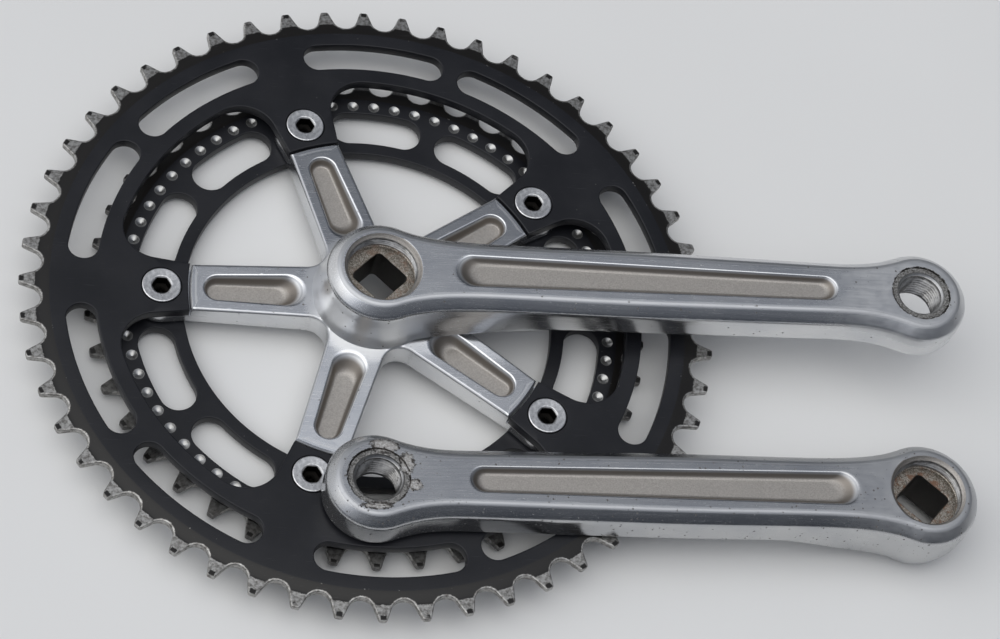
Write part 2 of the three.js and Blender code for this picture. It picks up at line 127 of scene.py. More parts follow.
BORE_COUNT, PEDAL_COUNT = 96, 72

# Chainring bolts and nuts
HEAD_RADIUS, HEAD_DEPTH, HEAD_PROUD = 5.95, 1.6, 0.2
HEAD_TOP = RING_TOP + HEAD_PROUD
SCREW_RADIUS, SLEEVE_RADIUS, SLEEVE_BORE = 3.9, 4.95, 4.25
FLANGE_RADIUS, NUT_FLANGE = 6.9, 1.4
HEX_ACROSS_FLATS, HEX_DEPTH = 5, 4
SCREW_PITCH = 0.75
BOLT_COUNT, NUT_COUNT = 72, 64


# ---- Flat outlines: closed loops of (x, y) rows, counter-clockwise ----

def on_circle(radius, angle):
    return np.array((radius * cos(angle), radius * sin(angle)))


def directions(angles):
    return np.column_stack((np.cos(angles), np.sin(angles)))


def arc(centre, radius, start, end, spacing=0.8):
    count = max(3, round(abs(end - start) * radius / spacing) + 1)
    angles = np.linspace(start, end, count)
    return np.asarray(centre) + radius * directions(angles)


def circle(radius, count, centre=(0, 0)):
    return arc(centre, radius, 0, 2 * pi, 2 * pi * radius / count)[:-1]


def bezier(*controls, count=10):
    t = np.linspace(0, 1, count)[:, None]
    points = [np.asarray(c, float)[None] for c in controls]
    while len(points) > 1:
        points = [a * (1 - t) + b * t for a, b in zip(points, points[1:])]
    return points[0]


def joined(*pieces):
    """One closed loop from runs of points, with repeated points left out."""
    points = np.vstack(pieces)
    apart = norm(points - np.roll(points, 1, 0), axis=1) > 1e-4
    return points[apart]


def turned_by(points, angle):
    c, s = cos(angle), sin(angle)
    return points @ np.array(((c, s), (-s, c)))


def inset(points, distance):
    """The loop moved inwards by a distance, which may differ from point to point."""
    ahead = np.roll(points, -1, 0) - points
    ahead /= norm(ahead, axis=1)[:, None]
    normal = np.column_stack((-ahead[:, 1], ahead[:, 0]))
    before = np.roll(normal, 1, 0)
    mitre = (normal + before) / (1 + (normal * before).sum(1))[:, None]
    return points + mitre * np.broadcast_to(distance, len(points))[:, None]


def tooth_pitch(teeth):
    """The angle from tooth to tooth, and the radius of the circle that the chain's pins run on."""
    step = 2 * pi / teeth
    return step, CHAIN_PITCH / (2 * sin(step / 2))


def toothed_outline(teeth, first_tooth, rng, wear):
    """Round gullets, and tips that wear has lowered and pushed to one side."""
    step, pitch_radius = tooth_pitch(teeth)
    reach = 1.2  # half the angle that a gullet goes round its roller
    runs = []
    for i in range(teeth):
        tooth = (first_tooth + i) * step
        low = pitch_radius + TOOTH_HEIGHT - wear * rng.random()
        push = 0.4 * wear * rng.random() / low
        corners = [on_circle(low, tooth + push + side * 0.09 * step) for side in (-1, 1)]
        ends = [
            on_circle(pitch_radius, tooth + side * step / 2)
            + on_circle(ROLLER_RADIUS, tooth + side * step / 2 + pi + side * reach) for side in (-1, 1)
        ]
        across = (corners[1] - corners[0]) / norm(corners[1] - corners[0])
        for corner, end, side in zip(corners, ends, (-1, 1)):
            flank = (end - corner) / norm(end - corner)
            rounded = bezier(corner + 0.7 * flank, corner, corner - side * 0.5 * across, count=4)
            down = bezier(end, corner + 0.7 * flank, count=4)
            runs.append(np.vstack((down, rounded)) if side < 0 else np.vstack((rounded[::-1], down[::-1])))
        gullet = tooth + step / 2
        middle = on_circle(pitch_radius, gullet)
        runs.append(arc(middle, ROLLER_RADIUS, gullet + pi + reach, gullet + pi - reach, 0.6))
    return joined(*runs)


def arc_slot(inner, outer, start, end):
    middle, end_radius = (inner + outer) / 2, (outer - inner) / 2
    first, last = start + end_radius / middle, end - end_radius / middle
    return joined(
        arc((0, 0), outer, first, last, 1.2),
        arc(on_circle(middle, last), end_radius, last, last + pi),
        arc((0, 0), inner, last, first, 1.2),
        arc(on_circle(middle, first), end_radius, first + pi, first + 2 * pi),
    )


def ring_slots(inner, outer, near, far):
    """Two slots in each sector between bolt tabs."""
    slots = []
    for angle in ARM_ANGLES:
        middle = angle + SPIDER_STEP / 2
        slots.append(arc_slot(inner, outer, middle + near, middle + far))
        slots.append(arc_slot(inner, outer, middle - far, middle - near))
    return slots


def window_outline():
    """The outer ring's open middle: five windows with the bolt tabs in between."""
    slant = atan(TAB_SPREAD)
    edge = on_circle(1, slant)
    foot = np.array((sqrt(TAB_RADIUS**2 - TAB_HALF_WIDTH**2), TAB_HALF_WIDTH))
    offset = foot + WINDOW_CORNER * np.array((-edge[1], edge[0]))
    reach = WINDOW_RADIUS - WINDOW_CORNER
    along = offset @ edge
    corner = offset + edge * (-along + sqrt(along**2 - offset @ offset + reach**2))
    corner_angle, foot_angle = atan2(*corner[::-1]), atan2(*foot[::-1])
    right = pi / 2
    sector = [
        arc((0, 0), TAB_RADIUS, -foot_angle, foot_angle),
        arc(corner, WINDOW_CORNER, slant - right, corner_angle),
        arc((0, 0), WINDOW_RADIUS, corner_angle, SPIDER_STEP - corner_angle, 1.2),
        arc(on_circle(reach, SPIDER_STEP - corner_angle), WINDOW_CORNER,
            SPIDER_STEP - corner_angle, SPIDER_STEP - slant + right),
    ]
    return joined(*[turned_by(run, pi + i * SPIDER_STEP) for i in range(SPIDER_ARMS) for run in sector])


def tapered_slot(start, start_radius, end, end_radius, angle=0):
    """A slot along +X, turned by an angle. Every one has as many points."""
    tangent = pi / 2 - asin((start_radius - end_radius) / (end - start))
    first = arc((start, 0), start_radius, tangent, 2 * pi - tangent, start_radius * pi / 24)
    last = arc((end, 0), end_radius, -tangent, tangent, end_radius * pi / 24)
    lower = bezier(first[-1], last[0], count=24)[1:-1]
    upper = bezier(last[-1], first[0], count=24)[1:-1]
    return turned_by(np.vstack((first, lower, last, upper)), angle)


def arm_outline():
    """The crank arm from above, and how many of its points are on the round of the boss."""
    boss = arc((0, 0), BOSS_RADIUS, BOSS_TANGENT, 2 * pi - BOSS_TANGENT)
    eye_end = on_circle(EYE_RADIUS, EYE_TANGENT) + (CRANK_LENGTH, 0)
    neck = bezier(boss[0], NECK_BY_BOSS, NECK_BY_BLADE, (BLADE_START, BLADE_HALF_WIDTH), count=60)[::-1]
    blade = bezier((BLADE_END, BLADE_END_HALF_WIDTH), (BLADE_START, BLADE_HALF_WIDTH), count=14)
    near_eye = bezier(eye_end, NECK_BY_EYE, NECK_BY_END, (BLADE_END, BLADE_END_HALF_WIDTH), count=22)
    upper = np.vstack((near_eye, blade, neck))
    lower = upper[::-1] * (1, -1)
    eye = arc((CRANK_LENGTH, 0), EYE_RADIUS, -EYE_TANGENT, EYE_TANGENT)
    return joined(boss, lower, eye, upper), len(boss)


def spider_outline():
    runs = []
    for i in range(SPIDER_ARMS):
        arm = pi + i * SPIDER_STEP
        valley = on_circle(VALLEY_CENTRE, -SPIDER_STEP / 2)
        start = 1.5 * pi - SPIDER_STEP
        edge = np.array((TAB_RADIUS, SPIDER_HALF_WIDTH))
        tab = arc((BOLT_CIRCLE, 0), TAB_END_RADIUS, -TAB_END_SWEEP, TAB_END_SWEEP)
        valley_run = arc(valley, VALLEY_RADIUS, start, pi / 2, 0.7)
        side = bezier(valley_run[-1], edge * (1, -1), count=26)
        other = side[::-1] * (1, -1)
        runs += [turned_by(run, arm) for run in (valley_run, side, tab, other)]
    return joined(*runs)


def square_outline(half_side):
    """A square with its rounded corners on the axes."""
    runs = []
    for i in range(4):
        corner = on_circle((half_side - TAPER_CORNER) * sqrt(2), i * pi / 2)
        start, end = (i - 0.5) * pi / 2, (i + 0.5) * pi / 2
        runs.append(arc(corner, TAPER_CORNER, start, end, TAPER_CORNER / 5))
        runs.append(bezier(runs[-1][-1], turned_by(runs[0][:1], (i + 1) * pi / 2)[0], count=16))
    return joined(*runs)


def rounded_profile(corners, radius, steps=4):
    """The (across, height) corners, all but the ends rounded off over a distance of radius."""
    corners = [np.asarray(c, float) for c in corners]
    profile = [corners[0]]
    for before, corner, after in zip(corners, corners[1:], corners[2:]):
        back, on = before - corner, after - corner
        back_cut = min(radius, 0.45 * norm(back))
        on_cut = min(radius, 0.45 * norm(on))
        start = corner + back / norm(back) * back_cut
        end = corner + on / norm(on) * on_cut
        profile += list(bezier(start, corner, end, count=steps + 1))
    return np.array(profile + [corners[-1]])


# ---- Closed surfaces ----

class Shell:
    """A closed surface: rings of corners, joined by walls, and faces that fill them. matte and bore are the
    finish of the corners being added: 0 is polished, 1 is as forged, or is the dull inside of a hole. The
    materials also paint shade from them: darker walls part way down a sunk slot, and a near black square hole
    and bolt socket."""

    def __init__(self):
        self.corners, self.finishes, self.faces = [], [], []
        self.matte = self.bore = 0.0

    def corner(self, x, y, z):
        self.corners.append((x, y, z))
        self.finishes.append((self.matte, self.bore))
        return len(self.corners) - 1

    def ring(self, points, height):
        heights = np.broadcast_to(height, len(points))
        return [self.corner(x, y, z) for (x, y), z in zip(points, heights)]

    def walls(self, *rings):
        for a, b in zip(rings, rings[1:]):
            self.faces += [(a[i - 1], a[i], b[i], b[i - 1]) for i in range(len(a))]

    def fill(self, outer, holes=(), inside=(), height=None, margin=0.2):
        """Triangles from the outer ring to the holes, at height(x, y). Points a margin inside every ring
        keep the smooth shading of a rounded edge off the face."""
        loops = [outer, *holes]
        flat = [np.array([self.corners[i][:2] for i in loop]) for loop in loops]
        margins = [inset(points, margin if k == 0 else -margin) for k, points in enumerate(flat)]
        extra = self.spaced(np.vstack([*margins, *inside]), np.vstack(flat), margin)
        known = [i for loop in loops for i in loop]
        if height is None:
            plane = self.corners[outer[0]][2]
            height = lambda x, y: plane
        spots = [Vector(p) for p in np.vstack([*flat, extra])]
        faces, first = [], 0
        for loop in loops:
            faces.append(list(range(first, first + len(loop))))
            first += len(loop)
        made = geometry.delaunay_2d_cdt(spots, [], faces, 0, 1e-5)
        points, triangles, sources, owners = made[0], made[2], made[3], made[5]
        index = {}
        for triangle, owner in zip(triangles, owners):
            if list(owner) != [0]:
                continue
            for v in triangle:
                if v not in index:
                    source = min(sources[v], default=len(known))
                    x, y = points[v]
                    index[v] = known[source] if source < len(known) else self.corner(x, y, height(x, y))
            self.faces.append(tuple(index[v] for v in triangle))

    @staticmethod
    def spaced(points, edges, margin):
        """The points that aren't too near an edge point or one another."""
        tree = kdtree.KDTree(len(edges))
        for i, (x, y) in enumerate(edges):
            tree.insert((x, y, 0), i)
        tree.balance()
        kept, cells = [], set()
        for x, y in points:
            cell = (round(x / margin), round(y / margin))
            if cell not in cells and tree.find((x, y, 0))[2] > 0.6 * margin:
                cells.add(cell)
                kept.append((x, y))
        return np.array(kept)

    def turn(self, profile, count, centre=(0, 0), closed=False):
        """Rings of the profile's (radius, height) rows, joined by walls."""
        rings = [self.ring(circle(r, count, centre), z) for r, z in profile]
        self.walls(*rings, *rings[: 1 if closed else 0])
        return rings

    def thread(self, radius, depth, pitch, top, bottom, count, centre):
        """The rings of an inside screw thread, which runs out at both ends. Its root is marked darker than
        its crest.
        """
        angles = np.linspace(0, 2 * pi, count, endpoint=False)
        levels = np.linspace(top, bottom, round((top - bottom) / pitch * 6) + 1)
        rings = []
        for z in levels:
            run_out = min(1, (top - z) / pitch, (z - bottom) / pitch)
            wave = np.arcsin(np.sin(angles + 2 * pi * z / pitch)) / pi
            ring = []
            for angle, w in zip(angles, wave):
                # The bore value is higher at the root than at the crest, and the material colours the root
                # darker.
                self.bore = 0.8 + 0.6 * w
                ring.append(self.corner(*(on_circle(radius + w * depth * run_out, angle) + centre), z))
            rings.append(ring)
        self.walls(*rings)
        return rings

    def mesh(self, name, place=Matrix()):
        """The mesh in metres, which keeps its own coordinates and finishes for its material."""
        mesh = bpy.data.meshes.new(name)
        mesh.from_pydata(self.corners, [], self.faces)
        local = mesh.attributes.new("local", "FLOAT_VECTOR", "POINT")
        local.data.foreach_set("vector", np.array(self.corners, float).ravel())
        for k, kind in enumerate(("matte", "bore")):
            values = mesh.attributes.new(kind, "FLOAT", "POINT")
            values.data.foreach_set("value", [f[k] for f in self.finishes])
        mesh.transform(Matrix.Scale(MILLIMETRE, 4) @ place)
        work = bmesh.new()
        work.from_mesh(mesh)
        bmesh.ops.recalc_face_normals(work, faces=work.faces)
        work.to_mesh(mesh)
        work.free()
        return mesh


# ---- Chainrings ----

def quarter_round(radius, steps=3):
    """(inset, drop) rows of a rounded edge, from the wall to the flat."""
    angles = np.linspace(0, pi / 2, steps + 1)
    return [(radius * (1 - cos(a)), radius * (1 - sin(a))) for a in angles]


def chainring(outline, through, flat_radius, middle, counterbores=(), dimples=()):
    """A plate with a cone on each face down to its teeth, and counterbores and dimples in its outer face."""
    def half(points):
        radius = norm(points, axis=1)
        return np.interp(radius, (flat_radius, flat_radius + TOOTH_CONE), (HALF_PLATE, HALF_TOOTH))

    shell = Shell()
    off_crease = (-0.2, 0.2, 1.3, 2.6, TOOTH_CONE - 0.2, TOOTH_CONE + 0.2)
    creases = [circle(flat_radius + along, 420) for along in off_crease]
    edges = []
    for side in (1, -1):
        flats = []
        for points, inwards in [(outline, 1), *[(hole, -1) for hole in through]]:
            rings = []
            for across, drop in quarter_round(RING_EDGE):
                moved = inset(points, inwards * across)
                rings.append(shell.ring(moved, middle + side * (half(moved) - drop)))
            shell.walls(*rings)
            flats.append(rings[-1])
            edges.append(rings[0])
        blind = []
        face = middle + side * HALF_PLATE
        for place in counterbores:
            rim = COUNTERBORE if side > 0 else HOLE_RADIUS
            profile = [(rim + BREAK, face), (rim, face - side * BREAK)]
            if side > 0:
                profile.append((rim, COUNTERBORE_FLOOR))
            rings = shell.turn(profile, RING_HOLE_COUNT, place)
            hole = rings[-1]
            if side > 0:
                hole = shell.ring(circle(HOLE_RADIUS, RING_HOLE_COUNT, place), COUNTERBORE_FLOOR)
                shell.fill(rings[-1], [hole])
            edges.append(hole)
            blind.append(rings[0])
        shell.matte = 1.0
        for place in dimples if side > 0 else ():
            rim = DIMPLE_RADIUS
            profile = ((rim, face), (rim - 0.12, face - 0.1), (0.12, face - DIMPLE_DEPTH))
            rings = shell.turn(profile, 24, place)
            shell.faces.append(tuple(rings[-1]))
            blind.append(rings[0])
        shell.matte = 0.0
        shell.fill(flats[0], flats[1:] + blind, creases,
                   lambda x, y: middle + side * float(half(np.array(((x, y),)))[0]))
    half_count = len(edges) // 2
    for upper, lower in zip(edges[:half_count], edges[half_count:]):
        shell.walls(upper, lower)
    return shell


def bolt_places():
    return [on_circle(BOLT_CIRCLE, angle) for angle in ARM_ANGLES]


def outer_chainring():
    outline = toothed_outline(OUTER_TEETH, 0, random.Random(52), 0.35)
    through = [window_outline(), *ring_slots(*OUTER_SLOT)]
    return chainring(outline, through, OUTER_FLAT_RADIUS, OUTER_RING_MIDDLE, counterbores=bolt_places())


def inner_chainring():
    outline = toothed_outline(INNER_TEETH, 0.5, random.Random(42), 0.3)
    bolt_holes = [circle(HOLE_RADIUS, 48, place) for place in bolt_places()]
    through = [circle(INNER_RING_BORE, 300), *ring_slots(*INNER_SLOT), *bolt_holes]
    dimples = [
        on_circle(DIMPLE_CIRCLE, angle + SPIDER_STEP / 2 + k * DIMPLE_SPACING)
        for angle in ARM_ANGLES for k in range(-5, 6)
    ]
    return chainring(outline, through, INNER_FLAT_RADIUS, INNER_RING_MIDDLE, dimples=dimples)


# ---- Crank arms ----

def ramp(x, start, end):
    """0 before start and 1 after end, turning smoothly in between."""
    t = np.clip((np.asarray(x, float) - start) / (end - start), 0, 1)
    return t * t * (3 - 2 * t)


def sunk_slot(shell, rim, floor, depth, height, steps, angle=0):
    """A hollow whose walls run from the rim outline to the floor outline in (across, down) steps, each from
    0 to 1. Returns its rim ring."""
    upper, lower = tapered_slot(*rim, angle=angle), tapered_slot(*floor, angle=angle)
    rings = []
    for k, (across, down) in enumerate(steps):
        # Part way down, the walls' matte stays below the floor's, and the material paints them darker there,
        # as painted shade.
        shell.matte = 0.7 * min(1.0, max(0.0, 2.2 * down - 0.1)) + 0.3 * down**4
        points = upper + (lower - upper) * across
        top = height(points[:, 0], points[:, 1])
        rings.append(shell.ring(points, top + (depth(top) - top) * down))
    shell.walls(*rings)
    shell.fill(rings[-1], height=lambda x, y: float(depth(height(x, y))))
    shell.matte = 0.0
    return rings[0]


def arm_top(x, y=0):
    return LEAN * np.asarray(x, float)


def extractor_bore(shell, bottom, recess):
    """The boss's threaded bore, washer seat, square hole and the round recess (radius, depth) behind it.
    Returns the top ring and the ring at the back."""
    rings = []
    for radius, drop in ((BORE_RIM + 0.25, 0), (BORE_RIM, 0.12), (BORE_RIM - 0.2, 0.35)):
        points = circle(radius, BORE_COUNT)
        rings.append(shell.ring(points, arm_top(points[:, 0]) - drop))
        shell.matte = 1.0
    lead = BORE_RIM - BORE_RADIUS
    rings.append(shell.ring(circle(BORE_RADIUS + 0.1, BORE_COUNT), -lead - 0.2))
    shell.matte = 0.0
    shell.walls(*rings)
    threads = shell.thread(
        BORE_RADIUS - 0.1, 0.7, 1, -lead - 0.3, -BORE_DEPTH + 0.6, BORE_COUNT, (0, 0))
    shell.walls(rings[-1], threads[0])
    shell.bore = 1.0
    seat = -BORE_DEPTH
    foot = shell.turn(((BORE_RADIUS + 0.1, seat + 0.4), (BORE_RADIUS + 0.1, seat + 0.2),
                       (BORE_RADIUS - 0.2, seat)), BORE_COUNT)
    shell.walls(threads[-1], foot[0])
    half_side = TAPER_SEAT / 2
    radius, depth = recess
    end = bottom + depth
    # The square hole and the recess behind it lie below the washer seat, where the material paints them near
    # black, as painted shade.
    squares = [shell.ring(square_outline(half_side + 0.25), seat)]
    for z in (seat - 0.25, seat - 3, end + 3, end + 0.3, end):
        side = half_side + TAPER_SLOPE * (seat - z) + (0.25 if z == end else 0)
        squares.append(shell.ring(square_outline(side), z))
    shell.walls(*squares)
    shell.fill(foot[-1], [squares[0]])
    hollow = shell.turn(((radius - 0.3, end), (radius, end - 0.3), (radius, bottom + 0.3),
                         (radius + 0.3, bottom)), BORE_COUNT)
    shell.fill(hollow[0], [squares[-1]])
    shell.bore = 0.0
    return rings[0], hollow[-1]


def pedal_bore(shell, back):
    """The pedal's threaded hole in its scored seat. Returns the top ring and the ring at the back."""
    eye = (CRANK_LENGTH, 0)
    rim = circle(SEAT_RADIUS + 0.1, PEDAL_COUNT, eye)
    rings = [shell.ring(rim, arm_top(rim[:, 0]))]
    shell.bore = 0.35
    rings.append(shell.ring(circle(SEAT_RADIUS, PEDAL_COUNT, eye), PEDAL_SEAT_Z))
    shell.walls(*rings)
    cone = ((PEDAL_RADIUS + 0.75, PEDAL_SEAT_Z), (PEDAL_RADIUS + 0.1, PEDAL_SEAT_Z - 0.9))
    lead = shell.turn(cone, PEDAL_COUNT, eye)
    shell.fill(rings[-1], [lead[0]])
    bottom = back(CRANK_LENGTH) + 1
    threads = shell.thread(PEDAL_RADIUS - 0.05, 0.9, 1.27, PEDAL_SEAT_Z - 1, bottom, PEDAL_COUNT, eye)
    shell.walls(lead[-1], threads[0])
    shell.bore = 0.35
    points = circle(PEDAL_RADIUS + 0.7, PEDAL_COUNT, eye)
    end = shell.ring(points, back(points[:, 0]))
    shell.walls(threads[-1], end)
    shell.bore = 0.0
    return rings[0], end


def crank_arm(shell, bottom, recess, back_drop, drop_reach, wall_shift):
    """The blade, the eye and the round of the boss. The blade gets back_drop deeper over drop_reach
    (from, to), and its walls draw in by wall_shift(z) near the boss. Returns the ring round the boss where
    the blade's back meets it, and the ring at the bore's back."""
    outline, on_boss = arm_outline()
    x = outline[:, 0]

    def back(x):
        return arm_top(x) - ARM_THICKNESS - back_drop * (1 - ramp(x, *drop_reach))

    junction = back(BOSS_RADIUS * cos(BOSS_TANGENT))
    back_z = back(x)
    back_z[:on_boss] = junction
    near_boss = 1 - ramp(x, 6, 56)
    near_boss[:on_boss] = 1
    profile = rounded_profile(
        ((ARM_CHAMFER + 1.6, 0), (ARM_CHAMFER, 0), (0, -ARM_CHAMFER), (0, -ARM_CHAMFER - 2)), 1.1)
    rings = []
    for k, (across, z) in enumerate(profile):
        shell.matte = WORN_EDGE if 0 < k < 5 else 0.0
        points = inset(outline, across)
        rings.append(shell.ring(points, arm_top(points[:, 0]) + z))
    wall_top = arm_top(x) + profile[-1][1]
    edge = 0.9 * (1 - near_boss)
    for t in np.linspace(0.12, 1, 8):
        z = wall_top + (back_z + edge - wall_top) * t
        rings.append(shell.ring(inset(outline, near_boss * wall_shift(z)), z))
    for a in np.linspace(0, pi / 2, 5)[1:]:
        z = back_z + edge * (1 - sin(a))
        rings.append(shell.ring(inset(outline, near_boss * wall_shift(z) + edge * (1 - cos(a))), z))
    shell.walls(*rings)

    bore_top, bore_back = extractor_bore(shell, bottom, recess)
    eye_top, eye_back = pedal_bore(shell, back)
    steps = rounded_profile(((-0.3, 0), (0, 0), (0.75, 0.88), (1.25, 1)), 0.45)
    groove = sunk_slot(shell, GROOVE_RIM, GROOVE_FLOOR, lambda top: top - GROOVE_DEPTH, arm_top, steps)
    shell.fill(rings[0], [bore_top, groove, eye_top], height=lambda x, y: float(arm_top(x)))

    inner = arc((0, 0), BOSS_RADIUS - float(wall_shift(junction)), -BOSS_TANGENT, BOSS_TANGENT)[1:-1]
    inner_ring = shell.ring(inner, back(inner[:, 0]))
    last = rings[-1]
    blade_back = last[on_boss - 1:] + last[:1] + inner_ring[::-1]
    shell.fill(blade_back, [eye_back], [circle(r, 80) for r in range(19, 46, 2)],
               lambda x, y: float(back(x)), margin=0.5)
    return last[:on_boss] + inner_ring, bore_back


def left_crank_arm():
    shell = Shell()
    bottom = -LEFT_BOSS_DEPTH

    def barrel(z):
        drawn_in = BOSS_RADIUS - LEFT_BACK_RADIUS
        return drawn_in * (np.clip(-10 - np.asarray(z, float), 0, 15.5) / 15.5) ** 2.55

    around, bore_back = crank_arm(shell, bottom, LEFT_RECESS, 6.6, (12, 48), barrel)
    angles = [atan2(shell.corners[i][1], shell.corners[i][0]) for i in around]
    unit = directions(angles)
    rings = [around]
    lowest = min(shell.corners[i][2] for i in around) - 0.4
    for z in (lowest, -22, -23, -24, -24.8, -25.3):
        rings.append(shell.ring(unit * (BOSS_RADIUS - float(barrel(z))), z))
    rings.append(shell.ring(unit * (LEFT_BACK_RADIUS - 0.2), bottom))
    shell.walls(*rings)
    shell.fill(rings[-1], [bore_back])
    return shell


def hub_flare(height):
    """How far the round boss widens, at a height above the spider's face."""
    above = np.clip(np.asarray(height, float), 0, None)
    taper = np.clip(1 - above / (BOSS_TOP - ARM_CHAMFER - SPIDER_TOP - SPIDER_RISE), 0, 1)
    return HUB_TAPER * taper + HUB_FILLET * np.clip(1 - above / FILLET_HEIGHT, 0, 1) ** 2


def hub_height(radius):
    """How high above the spider's face the flare stands at a radius."""
    heights = np.linspace(FILLET_HEIGHT, 0, 80)
    return np.interp(np.asarray(radius, float) - BOSS_RADIUS, hub_flare(heights), heights)


def spider_height(x, y):
    """The spider's outer face, above the table."""
    radius = np.hypot(x, y)
    rise = np.clip((TAB_RADIUS - radius) / (TAB_RADIUS - SPIDER_ROOT), 0, 1)
    return SPIDER_TOP + SPIDER_RISE * rise + hub_height(radius)


def right_crank_arm():
    shell = Shell()
    bottom = -RIGHT_BOSS_DEPTH

    def flare(z):
        return -hub_flare(np.asarray(z, float) + BOSS_TOP - SPIDER_TOP - SPIDER_RISE)

    def face(x, y):
        return spider_height(x, y) - BOSS_TOP

    around, bore_back = crank_arm(shell, bottom, RIGHT_RECESS, 3.4, (24, 68), flare)
    corners = np.array([shell.corners[i][:2] for i in around])
    outwards = corners / norm(corners, axis=1)[:, None]
    hub = shell.ring(outwards * HUB_RING, float(face(HUB_RING, 0)))
    shell.walls(around, hub)

    outline = spider_outline()
    radius = norm(outline, axis=1)
    edge = VALLEY_EDGE + (SPIDER_EDGE - VALLEY_EDGE) * ramp(radius, 21, 30)
    rings = []
    for k, (across, drop) in enumerate(reversed(quarter_round(1, 5))):
        shell.matte = WORN_EDGE if 0 < k < 4 else 0.0
        points = inset(outline, across * edge)
        rings.append(shell.ring(points, face(points[:, 0], points[:, 1]) - drop * edge))
    side_top = face(outline[:, 0], outline[:, 1]) - edge
    back = SPIDER_BACK - BOSS_TOP
    for t in (0.35, 0.7):
        rings.append(shell.ring(outline, side_top + (back + 0.8 - side_top) * t))
    for across, drop in quarter_round(0.8):
        rings.append(shell.ring(inset(outline, across), back + drop))
    shell.walls(*rings)

    floor = SPIDER_TOP - POCKET_DEPTH - BOSS_TOP
    steps = [(t, t * t * (3 - 2 * t)) for t in np.linspace(0, 1, 10)]
    pockets = [
        sunk_slot(shell, POCKET_RIM, POCKET_FLOOR, lambda top: 0 * top + floor, face, steps, angle)
        for angle in ARM_ANGLES
    ]
    inside = [circle(r, round(7 * r)) for r in (19.2, 19.6, 20.2, 21, 22, 24, 26, 30, 35, 40, 45, 50)]
    shell.fill(rings[0], [hub, *pockets], inside, lambda x, y: float(face(x, y)), margin=0.25)

    boss = [(18.6, back), (18.1, back - 0.2), (17.7, bottom + 0.3), (17.4, bottom)]
    foot = shell.turn(boss, 120)
    shell.fill(rings[-1], [foot[0]])
    shell.fill(foot[-1], [bore_back])
    return shell


def tab_cutters():
    """Solids that cut the spider arms' ends down to the rings' tabs, and the bolt holes."""
    step = Shell()
    beyond = BOLT_CIRCLE + 2 * TAB_END_RADIUS
    inner = TAB_RADIUS - 0.6
    step.turn(((inner, TAB_TOP), (inner, SPIDER_TOP - 0.5), (inner - 0.7, SPIDER_TOP + 0.2),
               (inner - 0.7, SPIDER_TOP + 3), (beyond, SPIDER_TOP + 3), (beyond, TAB_TOP)), 240, closed=True)
    holes = Shell()
    for place in bolt_places():
        rings = holes.turn(((HOLE_RADIUS, SPIDER_BACK - 2), (HOLE_RADIUS, TAB_TOP + 1)), 40, place)
        holes.faces += [tuple(rings[0]), tuple(rings[1])]
    return step, holes


# ---- Bolts and nuts ----

def hexagon():
    angles = np.linspace(0, 2 * pi, BOLT_COUNT, endpoint=False)
    radii = HEX_ACROSS_FLATS / 2 / np.cos(angles % (pi / 3) - pi / 6)
    return radii[:, None] * directions(angles)


def chainring_bolt():
    shell = Shell()
    under = HEAD_TOP - HEAD_DEPTH
    tip = NUT_FLANGE + 0.3
    body = [(SCREW_RADIUS - 0.5, tip), (SCREW_RADIUS, tip + 0.5)]
    for k in range(int((under - tip - 1.5) / SCREW_PITCH)):
        low = tip + 0.6 + k * SCREW_PITCH
        body += [(SCREW_RADIUS, low), (SCREW_RADIUS - 0.35, low + SCREW_PITCH / 2)]
    head = rounded_profile(((SCREW_RADIUS, under), (HEAD_RADIUS, under), (HEAD_RADIUS, HEAD_TOP - 0.2),
                            (HEAD_RADIUS - 0.3, HEAD_TOP), (HEAD_RADIUS - 0.5, HEAD_TOP - 0.01),
                            (3.4, HEAD_TOP - 0.06), (3.2, HEAD_TOP - 0.08)), 0.12, 2)
    rings = shell.turn([*body, (SCREW_RADIUS, under - 0.4), *head], BOLT_COUNT)
    shell.faces.append(tuple(rings[0]))
    shell.bore = 0.25
    lead = shell.turn(((3.1, HEAD_TOP - 0.15), (2.95, HEAD_TOP - 0.35)), BOLT_COUNT)
    shell.walls(rings[-1], lead[0])
    # The socket and the cup below it: their material paints them near black, as painted shade in the deep
    # hole.
    shell.bore = 1.0
    socket = [shell.ring(hexagon(), HEAD_TOP - down) for down in (0.6, 2, HEX_DEPTH - 0.4)]
    shell.walls(lead[-1], *socket)
    cup = shell.turn(((1.6, HEAD_TOP - HEX_DEPTH), (0.3, HEAD_TOP - HEX_DEPTH - 0.4)), BOLT_COUNT)
    shell.walls(socket[-1], *cup)
    shell.faces.append(tuple(cup[-1]))
    return shell


def chainring_nut():
    top = HEAD_TOP - HEAD_DEPTH - 0.3
    shell = Shell()
    profile = rounded_profile(
        ((SLEEVE_BORE, 1), (SLEEVE_BORE, 0), (FLANGE_RADIUS, 0), (FLANGE_RADIUS, NUT_FLANGE),
         (SLEEVE_RADIUS, NUT_FLANGE), (SLEEVE_RADIUS, top), (SLEEVE_BORE, top), (SLEEVE_BORE, 1.1)), 0.3, 3)
    shell.turn(profile, NUT_COUNT, closed=True)
    return shell


# ---- Materials ----

